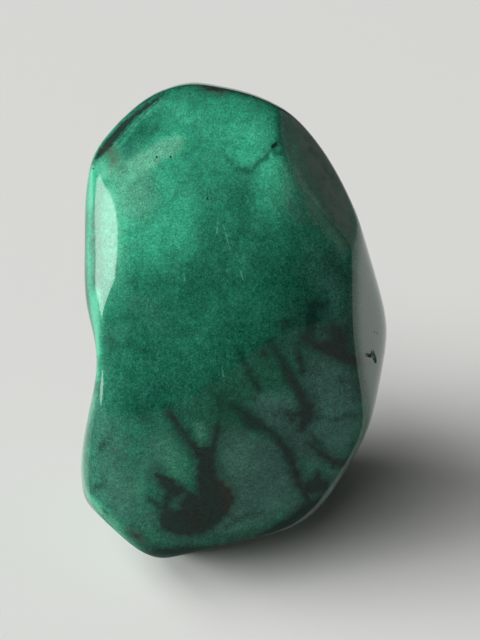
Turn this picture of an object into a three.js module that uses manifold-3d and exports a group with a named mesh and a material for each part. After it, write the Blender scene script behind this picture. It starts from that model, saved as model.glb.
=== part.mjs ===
// A tumbled, ground and polished malachite stone that stands upright on a small flat.
// Millimetres, X to the right, Y away from the front, Z up. The origin is on the
// ground, under the middle of the stone's box.
import * as THREE from 'three';
import { mergeVertices } from 'three/addons/utils/BufferGeometryUtils.js';
import Module from 'manifold-3d';

// How far the stone's middle, from which its flats are measured, is above the ground
const MIDDLE_ABOVE_GROUND = 20.7;

// How crisp the edges between the flats are: a higher power gives a crisper edge.
// Tumbling left worn edges, and grinding left sharp ones.
const WORN_CRISPNESS = 22;
const GROUND_CRISPNESS = 80;

// The outline is drawn along a line that runs down to the back at this slope. Seen
// along it, the stone is broad at the foot, with a waist on the left.
const SLOPE_OF_OUTLINE = 30;

// Worn flats of the outline and the front. Seen along the sloping line, clock is the
// angle around (0 right, 90 up), lean is how far the flat is tipped towards the
// front, and reach is its distance from the middle.
const OUTLINE_FLATS = [
  { clock: 20, lean: -2, reach: 12.2 }, // right shoulder
  { clock: -10, lean: 0, reach: 13.3 }, // right side
  { clock: -30, lean: 2, reach: 15 }, // lower right
  { clock: -64, lean: -4, reach: 18.5 }, // under the right
  { clock: 178, lean: 0, reach: 12.1 }, // left flank
  { clock: 154, lean: 0, reach: 17 }, // upper left corner
  { clock: 130, lean: -4, reach: 18.9 }, // behind the upper left
  { clock: 102, lean: 10, reach: 20.8 }, // crown
  { clock: 74, lean: 6, reach: 19 }, // top right
  { clock: 43, lean: -4, reach: 13.9 }, // upper right
  { clock: 137, lean: 64, reach: 14.8 }, // upper front
  { clock: -110, lean: 83, reach: 12.4 }, // middle front
  { clock: -14, lean: 68, reach: 13.5 }, // right of the front
  { clock: -60, lean: 55, reach: 12.3 }, // lower front
  { clock: -100, lean: 61, reach: 14.4 }, // left of the lower front
  { clock: -138, lean: 56, reach: 16.5 }, // lower left
  { clock: -111, lean: 0, reach: 21.1 }, // corner of the foot
];

// Worn flats of the body. Around is measured in plan (0 right, 90 away), up from level.
const BODY_FLATS = [
  { around: -60, up: 82, reach: 21.4 }, // top
  { around: -142, up: -8, reach: 18.4 }, // lower left front
  { around: -48, up: -26, reach: 16.6 }, // lower right front
  { around: 76, up: -4, reach: 13.9 }, // back, right of its ridge
  { around: 114, up: 0, reach: 12.2 }, // back, left of its ridge
  { around: 138, up: 14, reach: 14.2 }, // back left
  { around: 42, up: -20, reach: 16.3 }, // back right
  { around: 78, up: 44, reach: 17.8 }, // upper back
  { around: 150, up: 42, reach: 19.6 }, // upper back left
  { around: 94, up: -48, reach: 19.8 }, // lower back
  { around: 158, up: -38, reach: 20.8 }, // lower back left
  { around: 30, up: 38, reach: 16.8 }, // upper back right
  { around: 28, up: -54, reach: 21.8 }, // lower back right
];

// Sharply ground flats, placed like the outline's
const GROUND_FLATS = [
  { clock: 28, lean: 41, reach: 15.9 }, // dark flat, upper right
  { clock: -3, lean: 21, reach: 12.75 }, // grazing flat, right
  { clock: 157.5, lean: 47.5, reach: 15.5 }, // bright bevel, left
  { clock: 171, lean: 26, reach: 15 }, // left rim
  { clock: 141, lean: 48.5, reach: 16.3 }, // shoulder over the bright bevel
  { clock: 138.5, lean: 29, reach: 17.95 }, // dark bevel, upper left
  { clock: -163, lean: 25.5, reach: 16.65 }, // lower left rim
  { clock: -77, lean: 6, reach: 18.55 }, // foot
  { clock: -137, lean: 3, reach: 19.4 }, // left of the foot
  { clock: -147, lean: -11, reach: 17.7 }, // lower left
];

// Soft hollows and swellings, placed like the outline flats. Length is towards the
// front and width is round the outline, both as shares of the distance from the
// middle. Rise is outwards.
const SWELLS = [
  { clock: -162, lean: 12, length: 0.9, width: 0.3, rise: -2.6 }, // waist
  { clock: 99, lean: 2, length: 0.3, width: 0.09, rise: 0.4 }, // knob on the crown
];

// How finely the skin is divided, and how far its grid is stretched before it is
// laid on the stone, so that the triangles come out even on the tall form
const SKIN_DIVISIONS = 20;
const GRID_STRETCH = new THREE.Vector3(1.0, 0.92, 1.6);

const GROUND_CUTTER_SIZE = 60;

// Colour and polish
const MALACHITE = new THREE.MeshStandardMaterial({
  color: new THREE.Color().setRGB(0.16, 0.42, 0.33, THREE.SRGBColorSpace),
  roughness: 0.16,
  metalness: 0.0,
});

function directionOf(aroundDegrees, upDegrees) {
  const around = THREE.MathUtils.degToRad(aroundDegrees);
  const up = THREE.MathUtils.degToRad(upDegrees);
  return new THREE.Vector3(
    Math.cos(up) * Math.cos(around),
    Math.cos(up) * Math.sin(around),
    Math.sin(up),
  );
}

// Turns a direction given along the sloping line (right, up, towards the front) into
// the stone's own X, Y and Z
function fromOutlineView(seen) {
  const slope = THREE.MathUtils.degToRad(SLOPE_OF_OUTLINE);
  return new THREE.Vector3(
    seen.x,
    seen.y * Math.sin(slope) - seen.z * Math.cos(slope),
    seen.y * Math.cos(slope) + seen.z * Math.sin(slope),
  );
}

function placeOutlineFlats(flats) {
  return flats.map(({ clock, lean, reach }) => ({
    normal: fromOutlineView(directionOf(clock, lean)),
    reach,
  }));
}

function placeBodyFlats(flats) {
  return flats.map(({ around, up, reach }) => ({ normal: directionOf(around, up), reach }));
}

function placeSwells() {
  return SWELLS.map(({ clock, lean, length, width, rise }) => {
    const normal = directionOf(clock, lean);
    const towardsFront = directionOf(clock, lean + 90);
    const roundOutline = new THREE.Vector3().crossVectors(normal, towardsFront);
    return {
      normal: fromOutlineView(normal),
      towardsFront: fromOutlineView(towardsFront),
      roundOutline: fromOutlineView(roundOutline),
      length,
      width,
      rise,
    };
  });
}

// One over the distance to a group of flats: in a direction, the nearest flat sets it,
// and where two are equally near, the edge between them is rounded off.
function nearnessTo(flats, direction, crispness) {
  let sum = 0;
  for (const { normal, reach } of flats) {
    sum += Math.max(0, direction.dot(normal) / reach) ** crispness;
  }
  return sum ** (1 / crispness);
}

function riseOfSwells(direction, swells) {
  let rise = 0;
  for (const swell of swells) {
    const facing = Math.max(0, direction.dot(swell.normal));
    const along = direction.dot(swell.towardsFront) / swell.length;
    const across = direction.dot(swell.roundOutline) / swell.width;
    rise += swell.rise * facing ** 2 * Math.exp(-(along ** 2) - across ** 2);
  }
  return rise;
}

// How far the skin is from the middle in a direction: the ground flats cut the worn
// body, and the swells are added to both.
function distanceOfSkin(direction, worn, ground, swells) {
  const toWorn = nearnessTo(worn, direction, WORN_CRISPNESS);
  const toGround = nearnessTo(ground, direction, GROUND_CRISPNESS);
  const nearness = (toWorn ** GROUND_CRISPNESS + toGround ** GROUND_CRISPNESS) ** (1 / GROUND_CRISPNESS);
  return 1 / nearness + riseOfSwells(direction, swells);
}

// The whole skin, down to below the ground
function makeBody() {
  const worn = [...placeOutlineFlats(OUTLINE_FLATS), ...placeBodyFlats(BODY_FLATS)];
  const ground = placeOutlineFlats(GROUND_FLATS);
  const swells = placeSwells();
  const body = new THREE.IcosahedronGeometry(1, SKIN_DIVISIONS);
  const places = body.attributes.position;
  const direction = new THREE.Vector3();
  for (let i = 0; i < places.count; i += 1) {
    direction.fromBufferAttribute(places, i).multiply(GRID_STRETCH).normalize();
    direction.multiplyScalar(distanceOfSkin(direction, worn, ground, swells));
    places.setXYZ(i, direction.x, direction.y, direction.z + MIDDLE_ABOVE_GROUND);
  }
  return body;
}

// A block whose top is the ground
function makeGroundCutter() {
  const cutter = new THREE.BoxGeometry(GROUND_CUTTER_SIZE, GROUND_CUTTER_SIZE, GROUND_CUTTER_SIZE);
  cutter.translate(0, 0, -GROUND_CUTTER_SIZE / 2);
  return cutter;
}

function toSolid(wasm, geometry) {
  const bare = geometry.clone();
  bare.deleteAttribute('normal');
  bare.deleteAttribute('uv');
  const merged = mergeVertices(bare, 1e-4);
  const mesh = new wasm.Mesh({
    numProp: 3,
    vertProperties: new Float32Array(merged.attributes.position.array),
    triVerts: new Uint32Array(merged.index.array),
  });
  return new wasm.Manifold(mesh);
}

function toGeometry(solid) {
  const mesh = solid.getMesh();
  const geometry = new THREE.BufferGeometry();
  geometry.setAttribute('position', new THREE.BufferAttribute(mesh.vertProperties, 3));
  geometry.setIndex(new THREE.BufferAttribute(mesh.triVerts, 1));
  geometry.computeVertexNormals();
  return geometry;
}

// The stone, cut level where it stands, with the middle of its box over the origin
async function makeStone() {
  const wasm = await Module();
  wasm.setup();
  const solid = toSolid(wasm, makeBody()).subtract(toSolid(wasm, makeGroundCutter()));
  const geometry = toGeometry(solid);
  geometry.computeBoundingBox();
  const boxMiddle = geometry.boundingBox.getCenter(new THREE.Vector3());
  geometry.translate(-boxMiddle.x, -boxMiddle.y, 0);
  const stone = new THREE.Mesh(geometry, MALACHITE);
  stone.name = 'stone';
  return stone;
}

const group = new THREE.Group();
group.add(await makeStone());

export default group;
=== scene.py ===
import math

import bmesh
import bpy
import numpy as np
from mathutils import Matrix, Vector


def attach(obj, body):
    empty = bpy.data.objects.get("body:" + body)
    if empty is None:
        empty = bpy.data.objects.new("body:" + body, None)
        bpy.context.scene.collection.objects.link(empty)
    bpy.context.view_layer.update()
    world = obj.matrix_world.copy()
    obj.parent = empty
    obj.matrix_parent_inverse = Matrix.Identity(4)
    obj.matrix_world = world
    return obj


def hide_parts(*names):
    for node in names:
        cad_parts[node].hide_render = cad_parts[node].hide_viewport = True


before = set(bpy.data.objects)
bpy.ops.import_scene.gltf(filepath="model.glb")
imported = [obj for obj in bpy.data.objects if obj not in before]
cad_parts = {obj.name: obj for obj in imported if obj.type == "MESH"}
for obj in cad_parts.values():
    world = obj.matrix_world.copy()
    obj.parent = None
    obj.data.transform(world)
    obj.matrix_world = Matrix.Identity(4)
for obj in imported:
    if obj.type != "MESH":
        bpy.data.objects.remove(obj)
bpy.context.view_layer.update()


# The stone's body
# A piece of malachite, tumbled until its broken faces became soft flats with worn
# edges, with a few flats ground sharper, then polished. It stands upright on a small
# flat. The form is worked out in millimetres from the stone's middle.

MM = 0.001
MIDDLE_ABOVE_GROUND = 20.7
# Where the middle of the solid's box lies from the stone's middle: right, and away
BOX_MIDDLE = (0.257, 0.018)

# How crisp the edges between flats are: a higher power gives a crisper edge. Tumbling
# left worn edges, and grinding left sharp ones.
WORN_CRISPNESS = 22.0
SOFTENED_CRISPNESS = 34.0
GROUND_CRISPNESS = 80.0

# The outline is drawn along a line that runs down to the back at this slope
SLOPE_OF_OUTLINE = math.radians(30.0)
SLOPE_SIN, SLOPE_COS = math.sin(SLOPE_OF_OUTLINE), math.cos(SLOPE_OF_OUTLINE)
FRONT_VIEW = np.array([[1.0, 0.0, 0.0], [0.0, SLOPE_SIN, SLOPE_COS], [0.0, -SLOPE_COS, SLOPE_SIN]])

# Worn flats of the outline and the front, as seen along the sloping line: clock is
# the angle around, lean the tip towards the front, reach the distance from the middle
OUTLINE_FLATS = [
    (23, -2, 12.28),        # right shoulder
    (-12, 0, 13.42),        # right side
    (178.5, 0, 12.05),      # left flank
    (154, 0, 17.0),         # upper left corner
    (130, -4, 18.9),        # behind the upper left
    (102, 10, 20.8),        # crown
    (74, 6, 19.0),          # top right
    (43, -4, 14.25),        # upper right
    (137, 64, 14.8),        # upper front
    (-110, 83, 12.4),       # middle front
    (-14, 68, 13.5),        # right of the front
    (-60, 55, 12.3),        # lower front
    (-100, 61, 14.4),       # left of the lower front
    (-138, 56, 16.5),       # lower left
    (-111, 0, 21.1),        # corner of the foot
]

# Worn flats of the body: around in plan, up from level, and reach
BODY_FLATS = [
    (-60, 82, 21.4),        # top
    (-142, -8, 18.4),       # lower left front
    (-48, -26, 16.6),       # lower right front
    (76, -4, 13.9),         # back, right of its ridge
    (114, 0, 12.2),         # back, left of its ridge
    (138, 14, 14.2),        # back left
    (42, -20, 16.3),        # back right
    (78, 44, 17.8),         # upper back
    (150, 42, 19.6),        # upper back left
    (94, -48, 19.8),        # lower back
    (158, -38, 20.8),       # lower back left
    (30, 38, 16.8),         # upper back right
    (28, -54, 21.8),        # lower back right
]

# Flats with softer edges than the ground ones and crisper than the worn ones, placed
# like the outline's
SOFTENED_FLATS = [
    (-3, 21, 12.93),        # grazing flat, right
    (-30, 2, 14.85),        # lower right
    (-64, -4, 18.3),        # under the right
]

# Sharply ground flats, placed like the outline's
GROUND_FLATS = [
    (28, 41, 15.9),         # dark flat, upper right
    (157.5, 47.5, 15.42),   # bright bevel, left
    (171, 26, 14.93),       # left rim
    (138.5, 50, 16.04),     # shoulder over the bright bevel
    (138.5, 29, 18.15),     # dark bevel, upper left
    (-163, 25.5, 16.65),    # lower left rim
    (-77, 6, 18.55),        # foot
    (-134, 3, 19.6),        # left of the foot
    (-147, -11, 17.7),      # lower left
]

# Soft hollows and swellings: clock and lean, length towards the front and width
# round the outline as shares of the distance from the middle, and the rise outwards
SWELLS = [
    (-163, 12, 0.9, 0.27, -2.55),   # waist
    (-137, -4, 0.5, 0.14, 0.6),     # lower left
    (142, 4, 0.5, 0.2, 0.4),        # upper left
    (99, 2, 0.3, 0.09, 0.4),        # knob on the crown
]


def direction_of(around, up):
    """The direction at an angle around from the right and an angle up, in degrees."""
    around, up = math.radians(around), math.radians(up)
    return np.array([math.cos(up) * math.cos(around), math.cos(up) * math.sin(around), math.sin(up)])


def from_outline_view(seen):
    """Right, up and towards the front along the sloping line, as the stone's X, Y and Z."""
    return np.array(seen) @ FRONT_VIEW


def placed_round_outline(flats):
    return [(from_outline_view(direction_of(clock, lean)), reach) for clock, lean, reach in flats]


WORN = placed_round_outline(OUTLINE_FLATS)
WORN += [(direction_of(around, up), reach) for around, up, reach in BODY_FLATS]
SOFTENED = placed_round_outline(SOFTENED_FLATS)
GROUND = placed_round_outline(GROUND_FLATS)


def nearness_to(flats, directions, crispness):
    """One over the distance to a group of flats, blended where two are equally near."""
    total = np.zeros(len(directions))
    for normal, reach in flats:
        total += np.maximum(0.0, directions @ normal / reach) ** crispness
    return total ** (1.0 / crispness)


def distance_of_skin(directions):
    """How far the skin is from the stone's middle in each direction, the ground aside."""
    worn = nearness_to(WORN, directions, WORN_CRISPNESS)
    softened = nearness_to(SOFTENED, directions, SOFTENED_CRISPNESS)
    worn = (worn**SOFTENED_CRISPNESS + softened**SOFTENED_CRISPNESS) ** (1.0 / SOFTENED_CRISPNESS)
    ground = nearness_to(GROUND, directions, GROUND_CRISPNESS)
    distance = (worn**GROUND_CRISPNESS + ground**GROUND_CRISPNESS) ** (-1.0 / GROUND_CRISPNESS)
    for clock, lean, length, width, rise in SWELLS:
        normal = direction_of(clock, lean)
        towards_front = direction_of(clock, lean + 90)
        round_outline = np.cross(normal, towards_front)
        facing = np.maximum(0.0, directions @ from_outline_view(normal))
        along = directions @ from_outline_view(towards_front) / length
        across = directions @ from_outline_view(round_outline) / width
        distance += rise * facing**2 * np.exp(-(along**2) - across**2)
    return distance


def distance_of_surface(directions):
    """The skin, cut level where the stone stands."""
    down = np.maximum(-directions[:, 2], 1e-9)
    return np.minimum(distance_of_skin(directions), MIDDLE_ABOVE_GROUND / down)


# Quads along each edge of the ball's grid, and the grid's stretch to the tall form
GRID_CUTS = 106
GRID_STRETCH = np.array([1.0, 0.92, 1.6])


def ball_grid(cuts, stretch):
    """Directions and outward quads of a cube's grid blown up to a stretched ball."""
    line = np.tan(np.linspace(-1.0, 1.0, cuts + 1) * math.pi / 4)
    first, second = np.meshgrid(line, line, indexing="ij")
    corner = np.arange((cuts + 1) ** 2).reshape(cuts + 1, cuts + 1)
    ring = [corner[:-1, :-1], corner[1:, :-1], corner[1:, 1:], corner[:-1, 1:]]
    points, quads = [], []
    for axis in range(3):
        for side in (-1.0, 1.0):
            face = np.empty((cuts + 1, cuts + 1, 3))
            face[..., axis] = side
            face[..., (axis + 1) % 3] = first
            face[..., (axis + 2) % 3] = second
            order = ring if side > 0 else ring[::-1]
            quads.append(np.stack(order, -1).reshape(-1, 4) + len(points) * corner.size)
            points.append(face.reshape(-1, 3))
    points, quads = np.concatenate(points), np.concatenate(quads)
    merged, place = np.unique(points.round(6), axis=0, return_inverse=True)
    return merged * stretch, place.reshape(-1)[quads]


def laid_on_surface(points):
    """The points moved along their lines from the stone's middle onto its surface."""
    directions = points / np.linalg.norm(points, axis=1)[:, None]
    return directions * distance_of_surface(directions)[:, None]


points, quads = ball_grid(GRID_CUTS, GRID_STRETCH)
points = laid_on_surface(points)
middle = np.array([-BOX_MIDDLE[0], -BOX_MIDDLE[1], MIDDLE_ABOVE_GROUND])

stone_mesh = bpy.data.meshes.new("polished_stone")
stone_mesh.from_pydata(points.tolist(), [], quads.tolist())


# The veins, cells and stains, and painted light
# Malachite grows in cells and clouds of lighter and darker green, with black-brown
# veins between them that branch like a tree. They lie level in the polished face, so
# they are colour, and each is kept on the mesh as how far a point is from its edge.
# Some marks are painted light: highlights and reflections on the left bevel and rims,
# and shade along the foot, the edges, the ridge on the right and the dark flat.

# Where the front is seen: its scale, the stone's middle in the 480 by 640 picture, and
# the eye, in millimetres right, up and towards the front from the stone's middle
PIXELS_PER_MM = 11.77
MIDDLE_SEEN_AT = (232.0, 318.0)
PICTURE_CENTRE = (240.0, 320.0)
EYE_DISTANCE = 160.0
EYE = np.array([
    (PICTURE_CENTRE[0] - MIDDLE_SEEN_AT[0]) / PIXELS_PER_MM,
    (MIDDLE_SEEN_AT[1] - PICTURE_CENTRE[1]) / PIXELS_PER_MM,
    EYE_DISTANCE,
])
NEAREST_DEPTH, FARTHEST_DEPTH, DEPTH_STEP = 18.0, -16.0, 0.1


def place_seen(x, y):
    """The point of the surface seen at a place in the picture, or the nearest at the outline."""
    across = (x - MIDDLE_SEEN_AT[0]) / PIXELS_PER_MM
    upward = (MIDDLE_SEEN_AT[1] - y) / PIXELS_PER_MM
    depths = np.arange(NEAREST_DEPTH, FARTHEST_DEPTH, -DEPTH_STEP)[:, None]
    line = EYE + (np.array([across, upward, 0.0]) - EYE) * (EYE_DISTANCE - depths) / EYE_DISTANCE
    line = line @ FRONT_VIEW
    length = np.linalg.norm(line, axis=1)
    gap = length - distance_of_surface(line / length[:, None])
    first = np.argmax(gap <= 0) if gap.min() <= 0 else np.argmin(gap)
    return laid_on_surface(line[[first]])[0]


def place_around(around, up):
    """The point of the surface in a direction from the middle."""
    return laid_on_surface(direction_of(around, up)[None])[0]


def smooth_path(path, place, steps=4):
    """A path's points on the surface with its half widths, rounded between the given ones."""
    given = np.array(path, dtype=float)
    given = np.concatenate([given[:1], given, given[-1:]])
    rounded = []
    for i in range(len(given) - 3):
        a, b, c, d = given[i:i + 4]
        for t in np.arange(steps) / steps:
            bend = (2 * a - 5 * b + 4 * c - d) * t**2 + (3 * b - a - 3 * c + d) * t**3
            rounded.append(b + (c - a) * t / 2 + bend / 2)
    rounded.append(given[-1])
    return [(place(x, y), max(width, 0.0)) for x, y, width in rounded]


def distance_to_path(path, points):
    """How far points are outside the widths along a path, in millimetres."""
    if len(path) == 1:
        return np.linalg.norm(points - path[0][0], axis=1) - path[0][1]
    nearest = np.full(len(points), np.inf)
    for (start, start_width), (end, end_width) in zip(path, path[1:]):
        along = end - start
        share = np.clip((points - start) @ along / max(along @ along, 1e-9), 0.0, 1.0)
        away = np.linalg.norm(points - start - share[:, None] * along, axis=1)
        nearest = np.minimum(nearest, away - start_width - share * (end_width - start_width))
    return nearest


def on_front(paths):
    return [smooth_path(path, place_seen) for path in paths]


def on_other_sides(paths):
    return [smooth_path(path, place_around) for path in paths]


# Black-brown veins: places in the picture and half widths in millimetres. The tree has
# a left and a right branch, a trunk, and roots that hook round a paler pocket.
TREE = [
    [(170, 412, 0.05), (181, 429, 0.14), (190, 441, 0.28), (201, 455, 0.4)],
    [(217, 430, 0.16), (214, 443, 0.22), (209, 456, 0.4)],
    [(207, 453, 0.7), (207, 470, 0.82), (209, 488, 0.98)],
    [
        (209, 486, 1.0), (216, 499, 1.5), (209, 510, 1.6),
        (198, 519, 1.5), (184, 521, 1.4), (172, 521, 1.0),
    ],
    [(157, 475, 0.24), (165, 480, 0.5), (172, 487, 0.66), (178, 493, 0.66), (190, 502, 0.9)],
    [(170, 490, 0.3), (168, 502, 0.3), (168, 514, 0.6)],
]
MIDDLE_VEIN = [
    [(246, 414, 0.02), (255, 422, 0.1), (264, 427, 0.06)],
    [(270, 431, 0.06), (278, 439, 0.16), (287, 450, 0.26), (292, 461, 0.31), (295, 473, 0.34)],
    [(295, 473, 0.34), (299, 483, 0.36), (305, 493, 0.32), (308, 503, 0.24), (306, 512, 0.08)],
    [(306, 487, 0.42), (314, 485, 0.88), (322, 487, 0.56)],
    [(318, 477, 0.36), (318, 472, 0.14)],
]
RIGHT_VEIN = [
    [(286, 368, 0.02), (291, 378, 0.14), (297, 388, 0.24), (303, 398, 0.3)],
    [(298, 350, 0.04), (300, 360, 0.12), (302, 371, 0.06)],
    [(303, 400, 0.34), (307, 409, 0.58), (306, 418, 0.6), (302, 427, 0.34)],
    [(292, 419, 0.14), (293, 420, 0.14)],
    [(286, 413, 0.02), (293, 414, 0.1), (300, 414, 0.34)],
    [(267, 346, 0.04), (264, 352, 0.1), (262, 355, 0.04)],
]
RIGHT_BLOB = [
    [
        (304, 339, 0.2), (314, 344, 0.36), (325, 347, 0.5),
        (336, 350, 0.74), (346, 357, 0.52), (356, 363, 0.3),
    ],
    [(334, 330, 0.42), (337, 337, 0.72), (338, 347, 0.8)],
    [(357, 362, 0.3), (365, 361, 0.2)],
    [(320, 305, 0.06), (323, 307, 0.06)],
    [(283, 323, 0.05), (287, 322, 0.05)],
]
EDGE_STAINS = [
    [(133, 531, 0.1), (137, 536, 0.26), (142, 541, 0.12)],
    [
        (98, 157, 0.24), (105, 148, 0.5), (115, 136, 0.55),
        (127, 123, 0.46), (142, 110, 0.3), (163, 96, 0.1),
    ],
    [(118, 124, 0.02), (133, 109, 0.1), (152, 97, 0.02)],
    [(206, 87, 0.16), (213, 89, 0.36), (221, 92, 0.2)],
]
# Round the back, a place is its angle around in plan and its angle up, in degrees
VEINS_ROUND_THE_BACK = [
    [(62, 4, 0.12), (66, -10, 0.34), (63, -24, 0.5), (68, -36, 0.9), (74, -46, 1.6), (86, -50, 2.0)],
    [(86, -14, 0.12), (80, -26, 0.36), (74, -38, 0.7)],
    [
        (110, 14, 0.1), (116, 2, 0.24), (112, -10, 0.34),
        (118, -22, 0.46), (116, -36, 0.8), (108, -46, 1.2),
    ],
    [(138, -8, 0.12), (130, -16, 0.34), (118, -24, 0.4)],
    [(34, 12, 0.2), (40, 4, 0.8), (48, 2, 0.5), (56, -4, 0.2)],
    [(152, -26, 0.2), (158, -34, 0.7), (168, -40, 0.4)],
    [(14, -34, 0.08), (22, -40, 0.34), (34, -44, 0.5), (48, -46, 0.3)],
    [(84, 58, 0.1), (96, 50, 0.3), (104, 38, 0.2), (112, 30, 0.08)],
    [(-60, -24, 0.1), (-52, -30, 0.3), (-40, -34, 0.2)],
]
# The paler pocket in the tree's roots
VEIN_GAPS = [
    [(170, 506, 0.24), (176, 501, 0.36), (182, 497, 0.2)],
]
# Soft dark-green strokes between the cells, and painted shade along the foot, the crown's
# right edge and the lower right edge
SOFT_STROKES_AND_SHADE = [
    [
        (225, 402, 0.2), (240, 410, 0.35), (254, 424, 0.6),
        (268, 430, 0.35), (280, 442, 0.3), (292, 462, 0.3),
    ],
    [(242, 355, 0.1), (246, 366, 0.18), (252, 377, 0.18), (260, 390, 0.1)],
    [(272, 346, 0.1), (283, 362, 0.34), (292, 380, 0.4), (302, 396, 0.35)],
    [(299, 345, 0.1), (300, 356, 0.16), (302, 374, 0.1)],
    [(322, 306, 0.2), (310, 306, 0.4), (312, 320, 0.5), (309, 334, 0.4)],
    [(286, 322, 0.12), (298, 321, 0.14)],
    [(312, 436, 0.08), (318, 443, 0.14), (323, 451, 0.08)],
    [(332, 464, 0.2), (334, 467, 0.2)],
    [(340, 378, 0.12), (341, 381, 0.12)],
    [(316, 417, 0.0), (332, 419, 0.04), (348, 416, 0.16), (356, 418, 0.06)],
    [
        (227, 160, 0.0), (239, 169, 0.02), (250, 171, 0.02),
        (262, 160, 0.1), (273, 149, 0.16), (279, 143, 0.08),
    ],
    [(168, 406, 0.1), (172, 416, 0.2), (178, 426, 0.2)],
    [(218, 400, 0.02), (220, 412, 0.04), (217, 430, 0.1)],
    # Painted shade: the dark line along the foot
    [
        (154, 552, 0.3), (190, 550, 0.45), (226, 545, 0.5),
        (266, 534, 0.5), (292, 519, 0.5), (318, 503, 0.4),
    ],
    # Painted shade: the dark line along the crown's right edge
    [(225, 90, 0.1), (250, 95, 0.16), (280, 107, 0.22), (308, 129, 0.24)],
    # Painted shade: the lower right edge turning under
    [(348, 474, 0.06), (336, 492, 0.3), (314, 508, 0.4)],
    [(228, 526, 0.1), (243, 517, 0.12), (262, 512, 0.0)],
    [(147, 497, 0.1), (155, 503, 0.16), (163, 509, 0.2)],
    [(95, 160, 0.1), (101, 153, 0.16), (108, 148, 0.14)],
    [(108, 436, 0.04), (104, 443, 0.12), (100, 449, 0.06)],
    [(105, 480, 0.02), (98, 486, 0.08), (92, 491, 0.02)],
    [(101, 507, 0.04), (105, 512, 0.1), (109, 517, 0.04)],
    [(271, 149, 0.04), (276, 153, 0.08), (280, 152, 0.02)],
]
SOFT_STROKES_ROUND_THE_BACK = [
    [(92, 6, 0.1), (98, -8, 0.3), (96, -20, 0.3), (90, -32, 0.2)],
    [(132, 10, 0.1), (140, -2, 0.3), (146, -16, 0.3), (142, -28, 0.2)],
    [(50, 20, 0.1), (56, 12, 0.24), (66, 8, 0.1)],
    [(100, 64, 0.1), (122, 58, 0.3), (140, 50, 0.2), (150, 38, 0.1)],
    [(160, 10, 0.1), (168, -4, 0.24), (166, -18, 0.3), (172, -28, 0.2)],
    [(20, 6, 0.2), (26, -8, 0.4), (36, -16, 0.3)],
]
# Thin cracks and scratches in the polish, and a painted highlight along an edge
CRACKS = [
    [(371, 352), (373, 357), (375, 362)],
    [(373, 352), (375, 357), (376, 361)],
    [(366, 355), (371, 356)],
    [(273, 147), (277, 144)],
]
PALE_SCRATCHES_AND_GLINT = [
    [(218, 219), (217, 235)],
    [(223, 225), (230, 249)],
    [(222, 365), (224, 380)],
    [(240, 270), (243, 280)],
    [(184, 274), (185, 281)],
    # Painted highlight: the thin light line along the inner edge of the dark bevel
    [(113, 147), (138, 119), (161, 98)],
]
# Pits in the polish
PITS_SEEN = [(157, 157), (171, 157), (374, 332), (377, 333), (384, 352), (208, 199)]
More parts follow.
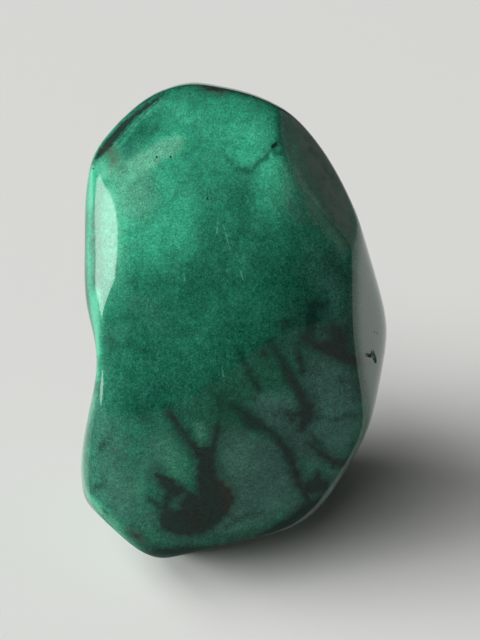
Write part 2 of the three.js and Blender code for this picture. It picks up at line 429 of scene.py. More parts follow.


# Clouds and cells of lighter and darker green, some of them painted highlights,
# reflections and shade: the change of tone, how pale and grey (or how saturated, below
# nought), the softness of the edge, and a path of places with half widths
CLOUDS_AND_PAINTED_LIGHT = [
    # Upper left: the bright green, a painted highlight on the bright bevel, and painted
    # reflection on the pale rim beside it
    (0.24, 0.0, 1.8, [(150, 168, 2.6), (150, 205, 4.2), (156, 224, 3.6)]),
    # Painted highlight: the bevel lightened where it mirrors the window
    (0.20, 0.0, 1.8, [(106, 200, 1.2), (106, 250, 1.4), (106, 310, 1.2)]),
    (0.03, 0.1, 1.2, [(122, 210, 1.0), (122, 290, 1.0), (130, 330, 0.8)]),
    # Painted reflection: the pale rim, where the polish mirrors the floor at a grazing angle
    (0.38, 0.3, 0.6, [(92, 176, 0.3), (89, 230, 0.4), (90, 290, 0.35), (96, 340, 0.3), (97, 375, 0.3)]),
    # Painted highlight: the tail of the bevel's highlight
    (0.36, 0.3, 0.6, [(96, 296, 0.5), (97, 316, 0.6), (98, 336, 0.4), (99, 352, 0.2)]),
    # Painted reflection: the pale rims down the lower left and along the bottom left edge, where the
    # polish mirrors the floor at a grazing angle
    (0.30, 0.6, 0.7, [(94, 400, 0.35), (86, 430, 0.4), (82, 460, 0.4), (85, 488, 0.5), (95, 506, 0.7)]),
    (0.30, 0.8, 0.8, [(97, 507, 0.6), (110, 521, 0.6), (124, 537, 0.5), (138, 548, 0.3)]),
    (0.08, 0.2, 1.0, [(120, 262, 0.8), (124, 290, 0.9), (150, 310, 1.0)]),
    # The top, and painted reflection at the upper end of the rim
    (0.20, 0.0, 2.2, [(168, 116, 1.6), (200, 120, 2.8), (245, 130, 3.0), (268, 178, 2.2)]),
    (0.14, 0.2, 0.6, [(162, 100, 0.6), (150, 112, 0.3)]),
    # Painted reflection: the upper end of the pale rim
    (0.22, 0.5, 0.7, [(100, 162, 0.5), (104, 174, 0.5)]),
    # The bright lobe under the crack, and the green round it
    (0.06, 0.0, 0.5, [(240, 136, 1.3), (244, 153, 1.2)]),
    (0.12, 0.1, 0.8, [(272, 160, 0.9), (276, 195, 1.3), (262, 222, 0.8)]),
    (0.06, 0.0, 1.0, [(214, 160, 1.0), (222, 215, 0.9)]),
    # The pale lobe, and the grey green under it
    (0.06, 0.65, 0.35, [
        (112, 171, 0.9), (132, 168, 1.1), (149, 160, 1.0),
        (161, 150, 0.95), (174, 146, 0.95),
    ]),
    (0.00, 0.55, 1.4, [(134, 172, 2.0), (132, 190, 2.2), (136, 206, 1.4)]),
    (0.04, 0.35, 1.5, [(116, 210, 1.2), (112, 290, 1.2)]),
    # The dark block beside the black band at the upper left, and its light edges
    (-0.13, 0.0, 0.3, [(131, 152, 0.7), (137, 141, 1.1), (148, 128, 1.1), (156, 119, 0.7)]),
    # Painted highlight: the thin light line along the band's inner edge
    (0.16, 0.3, 0.16, [(117, 149, 0.06), (137, 125, 0.08), (158, 104, 0.04)]),
    (0.07, 0.15, 0.3, [(167, 102, 0.15), (178, 112, 0.3), (190, 122, 0.2)]),
    (-0.05, 0.0, 1.2, [(200, 104, 0.6), (198, 112, 0.5)]),
    # Darker green over the middle and the right, lighter beside the waist
    (-0.13, 0.0, 0.9, [(241, 178, 0.7), (245, 196, 0.8)]),
    (-0.06, 0.0, 2.0, [(300, 290, 2.2), (320, 320, 2.6), (290, 345, 1.8)]),
    (-0.12, 0.0, 1.6, [(312, 318, 0.9), (330, 336, 0.8)]),
    # Painted shade and painted dark reflection along the ridge between the front and the grazing flat
    (-0.20, 0.2, 1.2, [
        (330, 262, 0.6), (346, 280, 0.6), (350, 310, 0.6),
        (349, 340, 0.5), (354, 390, 0.4),
    ]),
    (-0.08, 0.0, 2.2, [(240, 356, 2.2), (282, 350, 2.0), (300, 350, 1.4)]),
    (-0.09, 0.0, 2.4, [(290, 282, 2.0), (288, 318, 2.4), (262, 334, 2.0)]),
    (-0.08, 0.0, 1.3, [(196, 410, 0.9), (228, 412, 1.0), (262, 408, 0.8), (284, 414, 0.8)]),
    (-0.15, 0.0, 1.6, [(134, 384, 1.0), (140, 410, 1.2), (160, 396, 1.4)]),
    (-0.10, 0.0, 1.5, [(212, 392, 1.2), (240, 396, 1.2), (262, 384, 1.0)]),
    (0.06, 0.15, 1.4, [(118, 330, 1.0), (112, 350, 0.8), (108, 396, 0.6)]),
    # Lower left, and the cells between the tree's branches
    (0.04, 0.54, 2.2, [(104, 430, 1.4), (118, 490, 2.4), (146, 516, 1.6)]),
    (0.05, 0.4, 1.6, [(160, 450, 2.0), (165, 470, 2.0)]),
    (0.13, 0.3, 0.7, [(172, 446, 1.0), (178, 462, 1.0), (184, 478, 0.6)]),
    (0.14, 0.55, 0.5, [(200, 426, 0.5), (200, 441, 0.45)]),
    # Grey green at the lower right, the foot and the right
    (0.00, 0.9, 1.6, [(225, 440, 1.0), (262, 470, 3.4), (262, 490, 3.4), (225, 515, 2.0)]),
    (0.00, 0.9, 1.6, [
        (262, 400, 1.2), (300, 430, 2.6), (330, 440, 2.4),
        (330, 400, 2.8), (325, 370, 2.0),
    ]),
    (0.00, 0.55, 2.2, [(190, 530, 2.0), (240, 530, 1.6)]),
    (0.00, 0.6, 2.6, [(330, 260, 1.4), (338, 300, 1.8), (330, 330, 2.0), (306, 330, 1.2)]),
    # Cells between the veins
    (0.10, 0.0, 0.8, [(236, 450, 1.0), (240, 464, 0.8)]),
    (-0.05, 0.0, 0.9, [(262, 452, 1.0), (274, 480, 1.4), (250, 484, 0.8)]),
    (0.10, 0.0, 0.7, [(270, 400, 0.8), (284, 400, 0.9)]),
    (0.05, 0.0, 0.8, [(246, 396, 0.5), (258, 408, 0.6)]),
    (-0.05, 0.0, 1.6, [(300, 440, 1.6), (330, 424, 2.2), (330, 390, 2.0)]),
    (-0.10, 0.0, 0.8, [(286, 432, 0.9), (300, 446, 0.8)]),
    # Painted shade along the lower right edge, where it turns under towards its shadow
    (-0.14, 0.0, 0.9, [(352, 450, 0.4), (338, 478, 0.5), (316, 500, 0.5), (300, 508, 0.5)]),
    (-0.08, 0.0, 1.2, [(318, 372, 0.8), (334, 374, 0.8)]),
    # The foot with painted shade along its edge, the pocket in the tree, and the edges beside
    # the foot: painted reflection on the lower left and painted shade on the lower right
    (0.10, 0.0, 0.5, [(222, 530, 0.3), (238, 526, 0.4)]),
    # Painted shade: the dark line along the foot, where the underside turns away from the light
    (-0.44, 1.0, 1.0, [
        (150, 552, 0.4), (190, 552, 0.7), (230, 547, 0.9),
        (272, 534, 0.9), (314, 508, 0.9),
    ]),
    (-0.12, 0.9, 0.5, [(170, 506, 0.2), (176, 501, 0.3), (182, 497, 0.2)]),
    # Painted reflection: the pale bottom left edge
    (0.16, 0.5, 0.6, [(112, 528, 0.3), (126, 540, 0.3)]),
    (0.00, 1.0, 1.0, [(296, 506, 0.8), (318, 490, 1.2), (334, 472, 0.8)]),
    (0.22, 0.9, 0.25, [(327, 497, 0.1), (331, 490, 0.15), (331, 483, 0.1)]),
    # Painted shade: more along the foot and the lower right edge
    (-0.16, 0.6, 0.7, [(205, 537, 0.3), (240, 534, 0.4), (278, 524, 0.4)]),
    (-0.12, 0.5, 0.8, [(300, 512, 0.5), (320, 498, 0.4)]),
    (-0.10, 0.5, 0.7, [(352, 444, 0.3), (350, 456, 0.4)]),
    # Small changes over the front
    (-0.06, 0.0, 1.2, [(196, 378, 0.8), (214, 392, 0.8), (226, 412, 0.8), (230, 436, 0.8)]),
    (-0.07, 0.0, 1.2, [(158, 354, 0.8), (176, 362, 0.8)]),
    # Painted highlight: more light on the bright bevel
    (0.10, 0.0, 0.8, [(106, 262, 0.5), (108, 284, 0.5)]),
    (0.07, 0.1, 1.0, [(103, 374, 0.5), (120, 384, 0.6), (150, 392, 0.6)]),
    (0.08, 0.0, 0.8, [(222, 206, 0.6), (232, 214, 0.6)]),
    (-0.06, 0.0, 1.0, [(262, 212, 0.6), (264, 230, 0.6)]),
    (-0.07, 0.0, 1.0, [(283, 176, 0.5), (284, 196, 0.6), (300, 208, 0.6)]),
    (-0.07, 0.0, 0.8, [(122, 136, 0.4), (120, 176, 0.6)]),
    (0.00, 0.45, 0.8, [(283, 150, 0.3), (288, 175, 0.5), (290, 200, 0.6), (300, 222, 0.5)]),
    (0.00, 0.8, 0.5, [(298, 170, 0.4), (306, 196, 0.4), (318, 222, 0.4)]),
    # The dark flat darkened by painted shade and painted dark reflection, the grey stripe
    # under it that is painted reflection, and the grazing flat greyed by painted reflection
    (-0.14, 0.3, 1.4, [(298, 120, 0.9), (318, 160, 1.5), (336, 214, 1.2)]),
    (-0.18, 0.3, 0.7, [(284, 108, 0.3), (286, 132, 0.3), (292, 160, 0.2)]),
    (0.14, 0.8, 0.4, [(296, 176, 0.25), (320, 214, 0.45), (345, 252, 0.4)]),
    (-0.05, 0.7, 1.0, [(366, 270, 1.0), (370, 330, 1.2), (360, 400, 1.0)]),
    # The deepest and most saturated greens
    (0.02, -0.4, 1.4, [(248, 356, 0.8), (262, 376, 1.2), (230, 402, 1.0), (208, 402, 1.0)]),
    (0.00, -0.3, 1.2, [(140, 424, 0.8), (172, 414, 0.8)]),
    (0.00, -0.3, 1.4, [(208, 102, 1.0), (230, 106, 1.2), (250, 122, 0.8)]),
    (0.00, -0.3, 1.2, [(228, 212, 0.8), (246, 194, 1.0)]),
]
CLOUDS_ROUND_THE_BACK = [
    (0.28, 0.1, 3.0, [(60, 60, 5.0), (120, 55, 5.0), (170, 50, 4.0)]),
    (0.22, 0.1, 2.6, [(150, 20, 3.4), (175, 22, 3.0), (190, 24, 1.6)]),
    (0.10, 0.4, 1.6, [(70, 28, 1.8), (86, 20, 1.4)]),
    (-0.08, 0.0, 1.6, [(100, 20, 1.2), (98, 4, 1.4)]),
    (0.00, 0.85, 3.0, [(50, -34, 4.0), (90, -36, 4.0), (130, -34, 4.0)]),
    (0.14, 0.9, 1.0, [(74, -8, 1.3), (78, -18, 1.2)]),
    (0.14, 0.9, 1.0, [(96, -22, 1.6), (94, -34, 1.6)]),
    (0.14, 0.8, 1.0, [(126, -30, 1.4), (134, -40, 1.6)]),
    (0.10, 0.6, 1.4, [(150, -12, 1.6), (164, -18, 1.4)]),
    (0.12, 0.8, 1.0, [(48, -20, 1.3), (44, -32, 1.4)]),
    (-0.10, 0.2, 1.6, [(28, -6, 1.2), (24, -22, 1.4)]),
    (-0.05, 0.5, 2.0, [(60, -60, 3.0), (120, -60, 3.0)]),
]
# Brown iron stain in the black veins and along the edge, and brown over the dark flat that
# is painted shade and painted dark reflection
BROWN_STAINS_AND_SHADE = [
    [(218, 476, 0.1), (226, 490, 0.3), (231, 506, 0.3)],
    [(104, 151, 0.3), (112, 153, 0.5), (113, 162, 0.5)],
    [(134, 532, 0.2), (141, 539, 0.2)],
    [(92, 505, 0.3), (100, 515, 0.2)],
    # Painted shade and painted dark reflection: the brown over the dark flat and along its lower edge
    [(294, 120, 0.4), (316, 156, 1.4), (336, 200, 1.4), (348, 236, 0.7)],
    [(297, 180, 0.1), (312, 206, 0.2), (326, 226, 0.3), (341, 247, 0.3)],
    [(206, 87, 0.3), (222, 92, 0.3)],
]


def nearest_of(paths, points):
    return np.min([distance_to_path(path, points) for path in paths], axis=0)


def fade(distance, softness):
    """One inside an edge and nought outside it, over the softness on both sides."""
    share = np.clip((softness - distance) / (2 * softness), 0.0, 1.0)
    return share**2 * (3 - 2 * share)


def with_widths(paths, width):
    """The paths with the same width at all their places."""
    return [[(x, y, width) for x, y in path] for path in paths]


def placed_clouds(given, place):
    return [(tone, pale, soft, smooth_path(path, place)) for tone, pale, soft, path in given]


black_veins = on_front(TREE + MIDDLE_VEIN + RIGHT_VEIN + RIGHT_BLOB + EDGE_STAINS)
black_veins += on_other_sides(VEINS_ROUND_THE_BACK)
vein_gaps = on_front(VEIN_GAPS)
soft_strokes_and_shade = on_front(SOFT_STROKES_AND_SHADE) + on_other_sides(SOFT_STROKES_ROUND_THE_BACK)
brown_stains_and_shade = on_front(BROWN_STAINS_AND_SHADE)
cracks = on_front(with_widths(CRACKS, 0.0))
scratches_and_glint = on_front(with_widths(PALE_SCRATCHES_AND_GLINT, 0.0))
clouds_and_painted_light = placed_clouds(CLOUDS_AND_PAINTED_LIGHT, place_seen) + placed_clouds(CLOUDS_ROUND_THE_BACK, place_around)


# The skin's fine mesh
# The skin is smooth, so its faces are small only where something fine crosses it: the
# edge of a vein, a crack, a scratch, a painted highlight line or a pit. There each face is
# split in four, and in four again at the marks in the polish.

# Pits beyond the ones seen in the picture, and the degrees around and up they lie within
OTHER_PITS = 26
PIT_SEED = 5
PITS_AROUND = (0, 200)
PITS_UP = (-50, 70)
chance = np.random.default_rng(PIT_SEED)
pits = [place_seen(x, y) for x, y in PITS_SEEN]
for _ in range(OTHER_PITS):
    pits.append(place_around(chance.uniform(*PITS_AROUND), chance.uniform(*PITS_UP)))
pit_paths = [[(pit, 0.0)] for pit in pits]

# How near a vein's edge or a mark the faces are split, in millimetres
EDGE_BAND = 0.22
MARK_BAND = 0.45
FINE_MARK_BAND = 0.24


def split_faces(mesh, wanted):
    """Splits the wanted faces in four and lays the new corners on the surface."""
    work = bmesh.new()
    work.from_mesh(mesh)
    work.faces.ensure_lookup_table()
    edges = {edge for i in np.nonzero(wanted)[0] for edge in work.faces[int(i)].edges}
    bmesh.ops.subdivide_edges(work, edges=list(edges), cuts=1, use_grid_fill=True)
    work.to_mesh(mesh)
    work.free()
    mesh.vertices.foreach_set("co", laid_on_surface(corners_of(mesh)).ravel())


def corners_of(mesh):
    found = np.empty(len(mesh.vertices) * 3)
    mesh.vertices.foreach_get("co", found)
    return found.reshape(-1, 3)


def face_middles(mesh):
    found = np.empty(len(mesh.polygons) * 3)
    mesh.polygons.foreach_get("center", found)
    return found.reshape(-1, 3)


marks = cracks + scratches_and_glint + pit_paths
centres = face_middles(stone_mesh)
near_vein_edges = np.abs(nearest_of(black_veins, centres)) < EDGE_BAND
split_faces(stone_mesh, near_vein_edges | (nearest_of(marks, centres) < MARK_BAND))
centres = face_middles(stone_mesh)
split_faces(stone_mesh, nearest_of(marks, centres) < FINE_MARK_BAND)


def store(mesh, name, values):
    """Keeps one value for each corner of the mesh, for the material to read."""
    mesh.attributes.new(name, "FLOAT", "POINT").data.foreach_set("value", values)


BASE_TONE = 0.53
BROWN_SOFTNESS = 0.8
corners = corners_of(stone_mesh)
vein = np.maximum(nearest_of(black_veins, corners), -nearest_of(vein_gaps, corners))
store(stone_mesh, "vein", vein)
store(stone_mesh, "soft_vein_and_shade", nearest_of(soft_strokes_and_shade, corners))
store(stone_mesh, "scratch_and_glint", nearest_of(scratches_and_glint, corners))
store(stone_mesh, "brown", fade(nearest_of(brown_stains_and_shade, corners), BROWN_SOFTNESS))
tone = np.full(len(corners), BASE_TONE)
paleness = np.zeros(len(corners))
for change, pale, softness, path in clouds_and_painted_light:
    share = fade(distance_to_path(path, corners), softness)
    tone += change * share
    paleness = np.maximum(paleness, pale * share) + min(pale, 0.0) * share
store(stone_mesh, "tone", tone)
store(stone_mesh, "pale", paleness)
stone_mesh.vertices.foreach_set("co", ((corners + middle) * MM).ravel())
stone_mesh.update()
stone_mesh.shade_smooth()
stone = bpy.data.objects.new("polished_stone", stone_mesh)
bpy.context.collection.objects.link(stone)


# The malachite
# Polished malachite: grains, fibres and clouds of green in several sizes, grey-black
# veins with soft ragged edges in a dark green halo, faint scratches, and pits and cracks
# darkened by painted shade.
malachite = bpy.data.materials.new("malachite")
malachite.use_nodes = True
tree = malachite.node_tree
shader = tree.nodes["Principled BSDF"]


def node_in(node_tree, kind, values, **settings):
    """A new node with its settings, and its inputs set or linked by name."""
    made = node_tree.nodes.new(kind)
    for name, value in settings.items():
        setattr(made, name, value)
    for name, value in values.items():
        if isinstance(value, bpy.types.NodeSocket):
            node_tree.links.new(value, made.inputs[name])
        else:
            made.inputs[name].default_value = value
    return made


def add_node(kind, values, **settings):
    """A node of the malachite."""
    return node_in(tree, kind, values, **settings)


def calculate(operation, first, second=0.0):
    return add_node("ShaderNodeMath", {0: first, 1: second}, operation=operation).outputs[0]


def stored(name):
    """What the mesh keeps under the name."""
    return add_node("ShaderNodeAttribute", {}, attribute_name=name).outputs["Fac"]


def noise(vector, size, detail, roughness=0.5, distortion=0.0):
    """A noise from nought to one whose lumps are about so many millimetres across."""
    values = {"Vector": vector, "Scale": 1.0 / size, "Detail": detail, "Roughness": roughness}
    values["Distortion"] = distortion
    return add_node("ShaderNodeTexNoise", values)


def fade_between(value, outer, inner):
    """Nought at the outer value and one at the inner one, with a smooth step between."""
    values = {"Value": value, "From Min": outer, "From Max": inner, "To Min": 0.0, "To Max": 1.0}
    return add_node("ShaderNodeMapRange", values, interpolation_type="SMOOTHSTEP").outputs["Result"]


# A Mix node's own sockets for colours: the share and the two colours in, the mix out
MIX_INPUTS = (0, 6, 7)
MIX_OUTPUT = 2


def mix_colours(share, first, second):
    """The first colour, turned into the second by the share."""
    values = dict(zip(MIX_INPUTS, (share, first, second)))
    return add_node("ShaderNodeMix", values, data_type="RGBA").outputs[MIX_OUTPUT]


def colour_ramp(value, stops):
    """A colour for each value, run evenly between the stops."""
    made = add_node("ShaderNodeValToRGB", {0: value})
    ramp = made.color_ramp
    ramp.elements[0].position, ramp.elements[0].color = stops[0][0], (*stops[0][1], 1.0)
    ramp.elements[1].position, ramp.elements[1].color = stops[-1][0], (*stops[-1][1], 1.0)
    for position, colour in stops[1:-1]:
        ramp.elements.new(position).color = (*colour, 1.0)
    return made.outputs["Color"]


def sway(value, height):
    """A noise turned to swing by the height on both sides of nought."""
    return calculate("MULTIPLY", calculate("SUBTRACT", value, 0.5), 2 * height)


def move_vectors(operation, values):
    return add_node("ShaderNodeVectorMath", values, operation=operation).outputs[0]


# Places in millimetres, and the same pushed about so that clouds curl
CURL_SIZE = 3.2
CURL_PUSH = 2.6
coordinates = add_node("ShaderNodeTexCoord", {}).outputs["Object"]
place = move_vectors("SCALE", {0: coordinates, "Scale": 1 / MM})
push = noise(place, CURL_SIZE, detail=3.0).outputs["Color"]
push = move_vectors("SUBTRACT", {0: push, 1: (0.5, 0.5, 0.5)})
push = move_vectors("SCALE", {0: push, "Scale": CURL_PUSH})
curled = move_vectors("ADD", {0: place, 1: push})

# Clouds, hues, grains and specks, by the size of their lumps in millimetres
clouds_large = noise(curled, 4.2, detail=2.0).outputs["Fac"]
clouds_middle = noise(curled, 1.3, detail=3.0, roughness=0.55).outputs["Fac"]
hues = noise(curled, 1.9, detail=4.0, roughness=0.6).outputs["Color"]
hues = add_node("ShaderNodeSeparateColor", {0: hues}).outputs["Blue"]
grains = noise(place, 0.34, detail=3.0, roughness=0.7, distortion=0.6).outputs["Fac"]
specks = noise(place, 0.13, detail=1.0, distortion=0.4).outputs["Fac"]

# Fine curling fibres, where a wavy noise crosses its middle
FIBRE_BAND = 0.06
wavy = noise(place, 0.5, detail=1.0, distortion=2.2).outputs["Fac"]
off_fibre = calculate("ABSOLUTE", calculate("SUBTRACT", wavy, 0.5))
fibres = fade_between(off_fibre, outer=FIBRE_BAND, inner=0.0)

# How far each of them moves the tone up and down, and the fibres up
FIBRE_TONE = 0.05
tone_of_green = stored("tone")
for value, height in ((clouds_large, 0.12), (clouds_middle, 0.16), (grains, 0.24), (specks, 0.30)):
    tone_of_green = calculate("ADD", tone_of_green, sway(value, height))
tone_of_green = calculate("ADD", tone_of_green, calculate("MULTIPLY", fibres, FIBRE_TONE))

# From the darkest to the lightest tone: plain greens, and the paler grey ones
GREENS = [
    (0.0, (0.002, 0.010, 0.007)),
    (0.2, (0.003, 0.034, 0.020)),
    (0.4, (0.006, 0.074, 0.043)),
    (0.6, (0.015, 0.135, 0.080)),
    (0.8, (0.022, 0.235, 0.137)),
    (1.0, (0.045, 0.370, 0.216)),
]
GREY_GREENS = [
    (0.0, (0.004, 0.012, 0.010)),
    (0.2, (0.013, 0.037, 0.030)),
    (0.4, (0.027, 0.077, 0.063)),
    (0.6, (0.045, 0.138, 0.108)),
    (0.8, (0.074, 0.245, 0.156)),
    (1.0, (0.120, 0.390, 0.255)),
]
HUE_SWAY = 0.34
grey_share = calculate("ADD", stored("pale"), sway(hues, HUE_SWAY))
grey_share = fade_between(grey_share, outer=-0.10, inner=1.0)
plain_greens = colour_ramp(tone_of_green, GREENS)
greens = mix_colours(grey_share, plain_greens, colour_ramp(tone_of_green, GREY_GREENS))

# Soft dark strokes, some of them painted shade along the foot and the edges. Their edges
# and the veins' are made ragged by lumps and by grains, so many millimetres in and out.
RAGGED_BY_LUMPS = 0.34
RAGGED_BY_GRAINS = 0.22
SOFT_RAGGEDNESS = 1.2
SOFT_STRENGTH = 0.74
DEEP_GREEN = (0.003, 0.020, 0.014, 1.0)
lumps = noise(place, 0.7, detail=3.0, roughness=0.6).outputs["Fac"]
ragged = calculate("ADD", sway(lumps, RAGGED_BY_LUMPS), sway(grains, RAGGED_BY_GRAINS))
soft_edge = calculate("ADD", stored("soft_vein_and_shade"), calculate("MULTIPLY", ragged, SOFT_RAGGEDNESS))
soft_share = calculate("MULTIPLY", fade_between(soft_edge, outer=0.46, inner=-0.34), SOFT_STRENGTH)
greens = mix_colours(soft_share, greens, DEEP_GREEN)

# The dark veins with their halo
HALO_STRENGTH = 0.45
BLACK_STRENGTH = 0.7
VEIN_STRENGTH = 0.96
HALO_GREEN = (0.007, 0.032, 0.023, 1.0)
VEIN_GREY = (0.0135, 0.0290, 0.0245, 1.0)
VEIN_BLACK = (0.0065, 0.0135, 0.0110, 1.0)
VEIN_BROWN = (0.0180, 0.0240, 0.0195, 1.0)
IRON_BROWN = (0.0420, 0.0240, 0.0200, 1.0)
vein_edge = calculate("ADD", stored("vein"), ragged)
halo_share = calculate("MULTIPLY", fade_between(vein_edge, outer=1.0, inner=0.0), HALO_STRENGTH)
greens = mix_colours(halo_share, greens, HALO_GREEN)
vein_colour = mix_colours(fade_between(clouds_middle, outer=0.50, inner=0.66), VEIN_GREY, VEIN_BROWN)
black_share = calculate("MULTIPLY", fade_between(grains, outer=0.52, inner=0.30), BLACK_STRENGTH)
vein_colour = mix_colours(black_share, vein_colour, VEIN_BLACK)
iron_share = calculate("MULTIPLY", stored("brown"), fade_between(grains, outer=0.36, inner=0.62))
vein_colour = mix_colours(iron_share, vein_colour, IRON_BROWN)
vein_share = calculate("MULTIPLY", fade_between(vein_edge, outer=0.26, inner=-0.28), VEIN_STRENGTH)
colours = mix_colours(vein_share, greens, vein_colour)

# Brown stain and painted shade outside the veins, pale scratches and a painted highlight,
# and painted shade in the pits and cracks
STAIN_AND_SHADE_BROWN = (0.066, 0.108, 0.070, 1.0)
SCRATCH_AND_GLINT_COLOUR = (0.12, 0.33, 0.24, 1.0)
SCRATCH_AND_GLINT_STRENGTH = 0.6
PAINTED_CREVICE_SHADE = (0.008, 0.010, 0.008, 1.0)
stain_and_shade_share = calculate("MULTIPLY", stored("brown"), fade_between(clouds_middle, outer=0.20, inner=0.70))
stain_and_shade_share = calculate("MULTIPLY", stain_and_shade_share, calculate("SUBTRACT", 1.0, vein_share))
colours = mix_colours(stain_and_shade_share, colours, STAIN_AND_SHADE_BROWN)
scratch_and_glint_share = fade_between(stored("scratch_and_glint"), outer=0.075, inner=0.01)
scratch_and_glint_share = calculate("MULTIPLY", scratch_and_glint_share, fade_between(grains, outer=0.36, inner=0.64))
scratch_and_glint_share = calculate("MULTIPLY", scratch_and_glint_share, SCRATCH_AND_GLINT_STRENGTH)
colours = mix_colours(scratch_and_glint_share, colours, SCRATCH_AND_GLINT_COLOUR)
crevice = stored("crevice")
colours = mix_colours(fade_between(crevice, outer=0.0, inner=0.24), colours, PAINTED_CREVICE_SHADE)
tree.links.new(colours, shader.inputs["Base Color"])

# The veins are softer than the malachite, so they take a little less polish
POLISHED_ROUGHNESS = 0.085
VEIN_ROUGHNESS = 0.06
CREVICE_ROUGHNESS = 0.55
ROUGHNESS_SWAY = 0.02
GRAIN_BUMP = {"Strength": 0.02, "Distance": 0.1 * MM}
REFRACTIVE_INDEX = 1.62
roughness = calculate("ADD", POLISHED_ROUGHNESS, calculate("MULTIPLY", vein_share, VEIN_ROUGHNESS))
roughness = calculate("ADD", roughness, calculate("MULTIPLY", crevice, CREVICE_ROUGHNESS))
roughness = calculate("ADD", roughness, sway(clouds_middle, ROUGHNESS_SWAY))
tree.links.new(roughness, shader.inputs["Roughness"])
grain_bump = add_node("ShaderNodeBump", {"Height": grains, **GRAIN_BUMP})
tree.links.new(grain_bump.outputs["Normal"], shader.inputs["Normal"])
shader.inputs["IOR"].default_value = REFRACTIVE_INDEX


# The polish's waves, pits and cracks
# Grinding on a soft wheel leaves the flats very slightly wavy. Small pits and cracks
# that the polish didn't reach are sunk into them along the marks.
def marks_object(name, paths):
    """Loose points and edges along paths, in the stone's frame."""
    spots, edges = [], []
    for path in paths:
        first = len(spots)
        spots += [tuple((spot + middle) * MM) for spot, _ in path]
        edges += [(i, i + 1) for i in range(first, len(spots) - 1)]
    mesh = bpy.data.meshes.new(name)
    mesh.from_pydata(spots, edges, [])
    made = bpy.data.objects.new(name, mesh)
    bpy.context.collection.objects.link(made)
    return made


polish = bpy.data.node_groups.new("polish_marks", "GeometryNodeTree")
polish.is_modifier = True


def tree_input(name, kind):
    """The identifier of a new input of the tree."""
    return polish.interface.new_socket(name=name, in_out="INPUT", socket_type=kind).identifier


tree_input("Geometry", "NodeSocketGeometry")
polish.interface.new_socket(name="Geometry", in_out="OUTPUT", socket_type="NodeSocketGeometry")
POLISH_INPUTS = {
    "Cracks": ("NodeSocketObject", marks_object("cracks", cracks)),
    "Crack Half Width": ("NodeSocketFloat", 0.18 * MM),
    "Crack Depth": ("NodeSocketFloat", 0.20 * MM),
    "Pits": ("NodeSocketObject", marks_object("pits", pit_paths)),
    "Pit Radius": ("NodeSocketFloat", 0.12 * MM),
    "Pit Depth": ("NodeSocketFloat", 0.08 * MM),
    "Wave Size": ("NodeSocketFloat", 2.4 * MM),
    "Wave Height": ("NodeSocketFloat", 0.003 * MM),
    "Ground Clearance": ("NodeSocketFloat", 0.05 * MM),
    "Material": ("NodeSocketMaterial", malachite),
}
polish_ids = {name: tree_input(name, kind) for name, (kind, _) in POLISH_INPUTS.items()}


def polish_node(kind, values, **settings):
    return node_in(polish, kind, values, **settings)


def polish_math(operation, first, second=0.0):
    return polish_node("ShaderNodeMath", {0: first, 1: second}, operation=operation).outputs[0]


def sunk_share(given, marks, half_width, element):
    """One at a mark and nought at its half width away."""
    source = polish_node("GeometryNodeObjectInfo", {"Object": given.outputs[marks]})
    near = polish_node("GeometryNodeProximity", {0: source.outputs["Geometry"]}, target_element=element)
    values = {"Value": near.outputs["Distance"], "From Min": given.outputs[half_width], "From Max": 0.0}
    return polish_node("ShaderNodeMapRange", values, interpolation_type="SMOOTHSTEP").outputs["Result"]


given = polish.nodes.new("NodeGroupInput")
crack_share = sunk_share(given, "Cracks", "Crack Half Width", "EDGES")
pit_share = sunk_share(given, "Pits", "Pit Radius", "POINTS")
depth = polish_math("MULTIPLY", crack_share, given.outputs["Crack Depth"])
depth = polish_math("ADD", depth, polish_math("MULTIPLY", pit_share, given.outputs["Pit Depth"]))
position = polish.nodes.new("GeometryNodeInputPosition").outputs[0]
wave_scale = polish_math("DIVIDE", 1.0, given.outputs["Wave Size"])
wave = polish_node("ShaderNodeTexNoise", {"Vector": position, "Scale": wave_scale, "Detail": 1.0})
wave = polish_math("SUBTRACT", wave.outputs["Fac"], 0.5)
depth = polish_math("ADD", depth, polish_math("MULTIPLY", wave, given.outputs["Wave Height"]))
height = polish_node("ShaderNodeSeparateXYZ", {0: position}).outputs["Z"]
off_ground = polish_math("GREATER_THAN", height, given.outputs["Ground Clearance"])
depth = polish_math("MULTIPLY", depth, off_ground)
normal = polish.nodes.new("GeometryNodeInputNormal").outputs[0]
values = {0: normal, "Scale": polish_math("MULTIPLY", depth, -1.0)}
inwards = polish_node("ShaderNodeVectorMath", values, operation="SCALE")
values = {"Geometry": given.outputs["Geometry"], "Offset": inwards.outputs[0]}
sunk = polish_node("GeometryNodeSetPosition", values)
crevice_share = polish_math("MAXIMUM", crack_share, pit_share)
values = {"Geometry": sunk.outputs[0], "Name": "crevice", "Value": crevice_share}
kept = polish_node("GeometryNodeStoreNamedAttribute", values)
realised = polish_node("GeometryNodeRealizeInstances", {0: kept.outputs[0]})
values = {"Geometry": realised.outputs[0], "Material": given.outputs["Material"]}
dressed = polish_node("GeometryNodeSetMaterial", values)
polish.links.new(dressed.outputs[0], polish.nodes.new("NodeGroupOutput").inputs[0])

modifier = stone.modifiers.new("polish_marks", "NODES")
modifier.node_group = polish
for name, (_, value) in POLISH_INPUTS.items():
    modifier[polish_ids[name]] = value
bpy.context.view_layer.update()
finished = bpy.data.meshes.new_from_object(stone.evaluated_get(bpy.context.evaluated_depsgraph_get()))
stone.modifiers.remove(modifier)
stone.data = finished
finished.name = "polished_stone"
for name in ("Cracks", "Pits"):
    bpy.data.objects.remove(POLISH_INPUTS[name][1])
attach(stone, "root")
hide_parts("stone")


# The floor
# A plain sheet of white, matt paper that the stone stands on. It is only the ground for
# the picture, with its edges far out of it.
FLOOR_HALF = 2.5
FLOOR_WHITE = (0.78, 0.78, 0.755, 1.0)
PAPER_ROUGHNESS = 0.9
PAPER_SHINE = 0.1


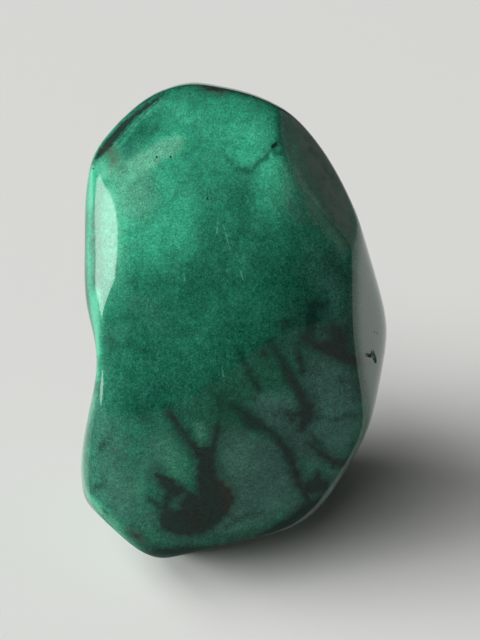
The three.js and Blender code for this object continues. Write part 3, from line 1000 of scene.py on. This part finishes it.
def lay_paper(name, colour_name, colour, half_width, front, back, height):
    """A level sheet of matt paper between its front and back edges."""
    sheet_corners = [(-half_width, front, height), (half_width, front, height)]
    sheet_corners += [(half_width, back, height), (-half_width, back, height)]
    mesh = bpy.data.meshes.new(name)
    mesh.from_pydata(sheet_corners, [], [(0, 1, 2, 3)])
    paper = bpy.data.materials.new(colour_name)
    paper.use_nodes = True
    paper_shader = paper.node_tree.nodes["Principled BSDF"]
    paper_shader.inputs["Base Color"].default_value = colour
    paper_shader.inputs["Roughness"].default_value = PAPER_ROUGHNESS
    paper_shader.inputs["Specular IOR Level"].default_value = PAPER_SHINE
    mesh.materials.append(paper)
    sheet = bpy.data.objects.new(name, mesh)
    bpy.context.collection.objects.link(sheet)
    return sheet


floor = lay_paper("floor", "pale_floor", FLOOR_WHITE, FLOOR_HALF, -FLOOR_HALF, FLOOR_HALF, 0.0)


# The dark card
# A dark, matt card lies on the paper in front of the stone. Only the polish sees it, so
# the stone's lower third mirrors the card and not the open paper.
CARD_BACK = -0.0075
CARD_FRONT = -2.0
CARD_HALF_WIDTH = 2.0
CARD_HEIGHT = 0.001
CARD_GREY = (0.14, 0.15, 0.145, 1.0)
card = lay_paper(
    "dark_card", "dark_card", CARD_GREY, CARD_HALF_WIDTH, CARD_FRONT, CARD_BACK, CARD_HEIGHT
)
card.visible_camera = False
card.visible_diffuse = False
card.visible_shadow = False


# The light
# A window low on the left, brightest in its middle, with a weaker light from high on
# the left, and a dim room on the right. The pane and a pale wall are seen only in the
# polish, and the other lights on the left only shine.
LIGHT_DISTANCE = 6.0
ROOM_DARK = (0.012, 0.012, 0.012, 1.0)


def soft_light(name, azimuth, elevation, half_width, half_height, radiance, lights=True, mirrored=True):
    """A soft rectangle facing the stone, in degrees. Azimuth 0 is on the right, 90 away."""
    data = bpy.data.lights.new(name, "AREA")
    data.shape = "RECTANGLE"
    data.size = 2 * LIGHT_DISTANCE * math.tan(math.radians(half_width))
    data.size_y = 2 * LIGHT_DISTANCE * math.tan(math.radians(half_height))
    data.energy = radiance * math.pi * data.size * data.size_y
    light = bpy.data.objects.new(name, data)
    bpy.context.collection.objects.link(light)
    towards = Vector(direction_of(azimuth, elevation))
    light.location = towards * LIGHT_DISTANCE
    light.rotation_mode = "QUATERNION"
    light.rotation_quaternion = towards.to_track_quat("Z", "Y")
    light.visible_diffuse = lights
    light.visible_glossy = mirrored


soft_light("window", 195, 17, 28.5, 16, 5.5, mirrored=False)
soft_light("window_middle", 194, 18.5, 14.6, 16.9, 4.65, mirrored=False)
soft_light("high_on_the_left", 212, 57, 37.6, 11, 4.0, mirrored=False)
soft_light("window_pane", 185, 17, 21, 16, 4.8, lights=False)
soft_light("pale_wall", 151, 6, 12, 7, 1.2, lights=False)
soft_light("dim_room", 28, 17, 32, 18, 0.25)
world = bpy.data.worlds.new("room")
world.use_nodes = True
world.node_tree.nodes["Background"].inputs["Color"].default_value = ROOM_DARK
bpy.context.scene.world = world


# The camera
# It looks down at the front along the sloping line, from 160 millimetres away. The
# stone's middle is a little to the left of the picture's.
SENSOR_WIDTH = 36.0
PICTURE_HEIGHT = 640
camera_data = bpy.data.cameras.new("camera")
camera_data.sensor_width = SENSOR_WIDTH
camera_data.lens = PIXELS_PER_MM * EYE_DISTANCE * SENSOR_WIDTH / PICTURE_HEIGHT
camera_data.clip_start = 0.01
camera = bpy.data.objects.new("camera", camera_data)
bpy.context.collection.objects.link(camera)
turn = Matrix(FRONT_VIEW.tolist()).transposed().to_4x4()
camera.matrix_world = Matrix.Translation((middle + EYE @ FRONT_VIEW) * MM) @ turn
bpy.context.scene.camera = camera
bpy.context.scene.view_settings.view_transform = "Standard"

bpy.context.view_layer.update()
